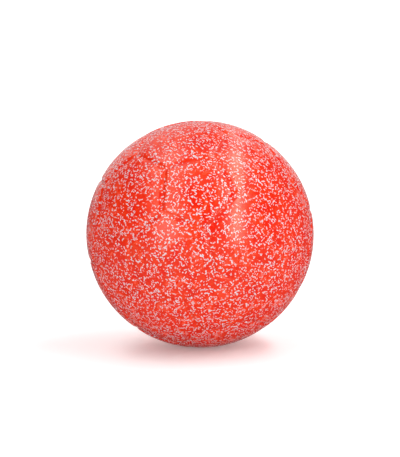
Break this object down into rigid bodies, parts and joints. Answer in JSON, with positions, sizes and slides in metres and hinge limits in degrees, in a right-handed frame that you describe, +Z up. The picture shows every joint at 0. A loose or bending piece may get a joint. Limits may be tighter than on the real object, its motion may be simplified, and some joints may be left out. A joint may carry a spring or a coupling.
{
  "type": "dog ball",
  "caption": "Hollow rubber fetch ball for a dog: domed panels in a football net with bevelled seams, cemented on a split core; red rubber with white flecks.",
  "frame": {"origin": "the middle of the ball", "axes": "+Z up through a corner of the seam net, so the ball lies on the panels round the opposite corner; +Y through the middle of a seam between hexagons, about which the cover repeats in half a turn; +X towards the side that the top pentagon leans to"},
  "size_m": [0.07, 0.0698, 0.0696],
  "materials": {
    "flecked_rubber": "satin moulded rubber, orange-red with short white flecks all through it",
    "core_rubber": "matte rubber with no flecks"
  },
  "bodies": {
    "root": {"core_lower_half": "core_rubber", "core_upper_half": "core_rubber", "hexagon_bottom_1": "flecked_rubber", "hexagon_bottom_2": "flecked_rubber", "hexagon_bottom_3": "flecked_rubber", "hexagon_bottom_4": "flecked_rubber", "hexagon_bottom_5": "flecked_rubber", "hexagon_lower_1": "flecked_rubber", "hexagon_lower_2": "flecked_rubber", "hexagon_lower_3": "flecked_rubber", "hexagon_lower_4": "flecked_rubber", "hexagon_lower_5": "flecked_rubber", "hexagon_top_1": "flecked_rubber", "hexagon_top_2": "flecked_rubber", "hexagon_top_3": "flecked_rubber", "hexagon_top_4": "flecked_rubber", "hexagon_top_5": "flecked_rubber", "hexagon_upper_1": "flecked_rubber", "hexagon_upper_2": "flecked_rubber", "hexagon_upper_3": "flecked_rubber", "hexagon_upper_4": "flecked_rubber", "hexagon_upper_5": "flecked_rubber", "pentagon_bottom": "flecked_rubber", "pentagon_lower_1": "flecked_rubber", "pentagon_lower_2": "flecked_rubber", "pentagon_lower_3": "flecked_rubber", "pentagon_lower_4": "flecked_rubber", "pentagon_lower_5": "flecked_rubber", "pentagon_top": "flecked_rubber", "pentagon_upper_1": "flecked_rubber", "pentagon_upper_2": "flecked_rubber", "pentagon_upper_3": "flecked_rubber", "pentagon_upper_4": "flecked_rubber", "pentagon_upper_5": "flecked_rubber"}
  },
  "joints": []
}
